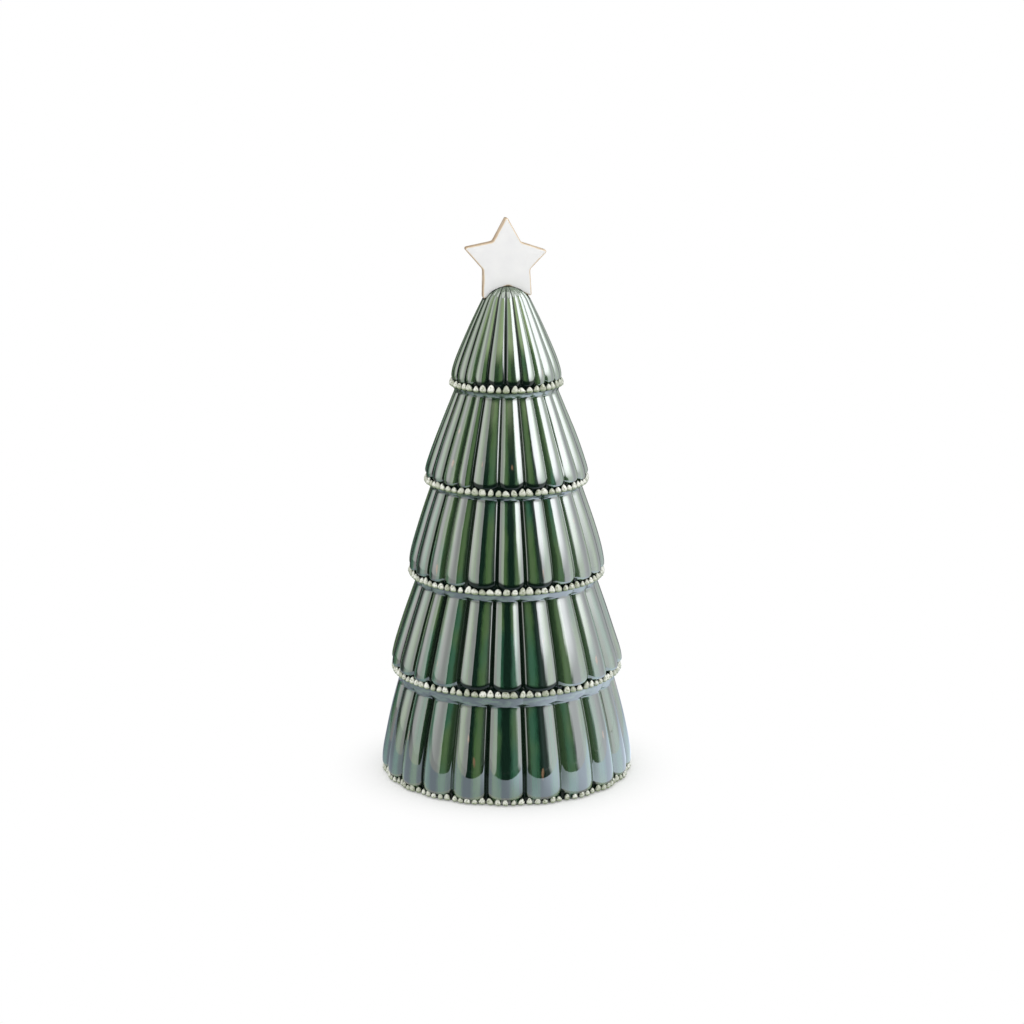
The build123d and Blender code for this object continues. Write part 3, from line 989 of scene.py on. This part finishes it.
def mirrored_card(*settings):
    """Card that is left to reflections, so that it neither lights nor shades."""
    card = glowing_card(*settings)
    card.visible_diffuse = False
    card.visible_shadow = False
    card.data.materials[0].cycles.emission_sampling = "NONE"


def on_globe(reach):
    """Places on a globe round the tree's middle, from bearings off the front and elevations in degrees."""

    def place(azimuth, elevation):
        turn, tilt = np.radians(azimuth), np.radians(elevation)
        flat = reach * np.cos(tilt)
        height = STUDIO_MIDDLE + reach * np.sin(tilt)
        return np.column_stack([flat * np.sin(turn), -flat * np.cos(turn), height])

    return place


def on_floor(azimuth, reach):
    """Places just above the floor, from bearings off the front and distances from the axis."""
    turn = np.radians(azimuth)
    return np.column_stack([reach * np.sin(turn), -reach * np.cos(turn), np.full_like(reach, CARD_LIFT)])


def even_glow(strength):
    """Glow of the same strength all over a card."""
    return lambda first, second: np.full_like(first, strength)


def left_glow(azimuth, elevation):
    """The left wall is brightest straight to the side and falls into shade behind."""
    peak_start, peak_end, peak_lift, low_share = (58, 84), (94, 112), (-5, 9), 0.4
    shade_low, shade_lift, shade_moves, shade_width = 98, (0, 9), 14, 26
    side = smooth(-azimuth, *peak_start) - smooth(-azimuth, *peak_end)
    peak = LEFT_PEAK * side * (low_share + (1 - low_share) * smooth(elevation, *peak_lift))
    shade_start = shade_low + shade_moves * smooth(elevation, *shade_lift)
    shade = BACK_SHADE * smooth(-azimuth, shade_start, shade_start + shade_width)
    return (LEFT_WALL + peak) * (1 - shade)


def right_glow(azimuth, elevation):
    """The right light is a bright window on a paler wall that falls into shade behind."""
    wall_low, wall_lean, wall_soft, most_lean = 53, 0.5, 3, 30
    window_low, window_lean, window_bend, window_lift, window_soft = 66, 1.2, 16, (3, 22), 45
    wall_dims, wall_shade = (92, 115), (128, 162)
    wall_start = wall_low - wall_lean * np.clip(elevation, 0, most_lean)
    window_end = window_low + window_lean * np.clip(elevation - window_bend, 0, most_lean)
    window = smooth(elevation, *window_lift) * (1 - smooth(azimuth, window_end, window_end + window_soft))
    wall = RIGHT_WALL - RIGHT_WALL_LOSS * smooth(azimuth, *wall_dims)
    wall = wall * (1 - BACK_SHADE * smooth(azimuth, *wall_shade))
    lit = smooth(azimuth, wall_start - wall_soft, wall_start + wall_soft)
    return RIGHT_BORDER + (wall + RIGHT_WINDOW * window - RIGHT_BORDER) * lit


def front_glow(azimuth, elevation):
    """The room in front is dark, with a little glow towards the right light and the ceiling."""
    to_right, to_top = (10, 42), (20, 30)
    return ROOM_LIGHT + ROOM_RIGHT * smooth(azimuth, *to_right) ** 2 + ROOM_TOP * smooth(elevation, *to_top)


def ceiling_glow(azimuth, elevation):
    """Over the dark room the wall fades up to the ceiling."""
    lift = (30, 40)
    return CEILING_FOOT + CEILING_GAIN * smooth(elevation, *lift)


def sheet_glow(azimuth, reach):
    """The sheet under the tree is lit more from the right, and less at the far left and behind."""
    right_start, right_end = (-5, 60), (100, 160)
    far_left, behind = (80, 120), (110, 160)
    right = smooth(azimuth, *right_start) - smooth(azimuth, *right_end)
    away = smooth(-azimuth, *far_left) + smooth(azimuth, *behind)
    return (SHEET_LIGHT + SHEET_GAIN * right) * (1 - SHEET_SHADE * away)


def shade_glow(azimuth, reach):
    """The floor falls into shade at the far left."""
    far_left = (84, 112)
    return GROUND_LIGHT - GROUND_SHADE * smooth(-azimuth, *far_left)


def ground_glow(azimuth, reach):
    """The floor under the right light carries on the wall's lower end."""
    lower_end = -5.0
    return right_glow(azimuth, np.full_like(azimuth, lower_end))


def floor():
    """Pale floor that keeps the shadow round the tree and fades to white away from it."""
    nodes = new_material("floor")
    place = nodes.add("ShaderNodeNewGeometry").outputs["Position"]
    away = nodes.add("ShaderNodeVectorMath", {"operation": "LENGTH"}, i0=place).outputs["Value"]
    fade = nodes.math("MULTIPLY", nodes.spread(away, *SHADOW_END), seen_ray(nodes))
    pale = nodes.add("ShaderNodeBsdfDiffuse", Color=(*PALE_FLOOR, 1)).outputs[0]
    mixed = nodes.add("ShaderNodeMixShader", i0=fade, i1=pale, i2=nodes.glow(WHITE, 1.0))
    corners = np.array([(-1, -1, 0), (1, -1, 0), (1, 1, 0), (-1, 1, 0)]) * FLOOR_REACH
    ground = new_piece("floor", corners, [(0, 1, 2, 3)], {})
    ground.data.materials.append(nodes.surface(mixed.outputs[0]))


def world():
    """White all round for what sees it, and a plain fill for the rest."""
    nodes = Nodes(bpy.data.worlds.new("studio"))
    level = nodes.spread(seen_ray(nodes), 0.0, 1.0, WORLD_FILL, 1.0)
    background = nodes.add("ShaderNodeBackground", Color=(*WHITE, 1), Strength=level)
    bpy.context.scene.world = nodes.surface(background.outputs[0], "ShaderNodeOutputWorld")


def studio():
    """Floor, world, a light at the top, and what the glaze mirrors: lit sides and a dark room in front."""
    floor()
    world()
    wall, room = on_globe(WALL_REACH), on_globe(ROOM_REACH)
    sheet, carpet = (FOOT_REACH, SHEET_REACH), (SHEET_REACH, ROOM_REACH)
    ground = (SHEET_REACH, GROUND_REACH)
    glowing_card("light_top", ALL_ROUND, TOP_RISE, wall, even_glow(TOP_LIGHT), WHITE)
    mirrored_card("light_left", LEFT_SIDE, SIDE_LIGHTS, wall, left_glow, WARM_WALL)
    mirrored_card("light_right", RIGHT_SIDE, SIDE_LIGHTS, wall, right_glow, WINDOW_WHITE)
    mirrored_card("dark_room", FRONT, ROOM_RISE, room, front_glow, ROOM_BLUE)
    mirrored_card("dim_wall", FRONT, WALL_RISE, room, ceiling_glow, WALL_GREEN)
    mirrored_card("dark_carpet", FRONT, carpet, on_floor, even_glow(CARPET_LIGHT), ROOM_BLUE)
    mirrored_card("pale_sheet", ALL_ROUND, sheet, on_floor, sheet_glow, SHEET_BLUE)
    mirrored_card("pale_ground", RIGHT_GROUND, ground, on_floor, ground_glow, GROUND_WHITE)
    mirrored_card("dim_ground", LEFT_GROUND, ground, on_floor, shade_glow, WHITE)


def camera():
    """The photograph's viewpoint."""
    lens = bpy.data.cameras.new("camera")
    lens.lens = CAMERA_LENS
    lens.sensor_width = SENSOR_WIDTH
    eye = bpy.data.objects.new("camera", lens)
    eye.location = CAMERA_PLACE
    eye.rotation_euler = (math.pi / 2 - CAMERA_PITCH, 0, 0)
    bpy.context.scene.collection.objects.link(eye)
    bpy.context.scene.camera = eye


def dress(piece, material, node):
    """Gives a piece its material and its place in the frame."""
    piece.data.materials.append(material)
    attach(piece, "root")
    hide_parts(node)


def tree():
    """Every piece of the ornament."""
    green, cream, white = green_glaze(), bead_glaze(), star_glaze()
    for number in range(len(TIERS)):
        tier = Tier(number)
        bell = Bell(tier, np.random.default_rng(SEED + number))
        drops = bead_row(tier, bell.columns, np.random.default_rng(BEAD_SEED + number))
        dress(bell.piece(), green, tier.node)
        dress(drops, cream, tier.bead_node)
    dress(star_piece(), white, "star")


tree()
studio()
camera()
bpy.context.scene.view_settings.view_transform = "Standard"
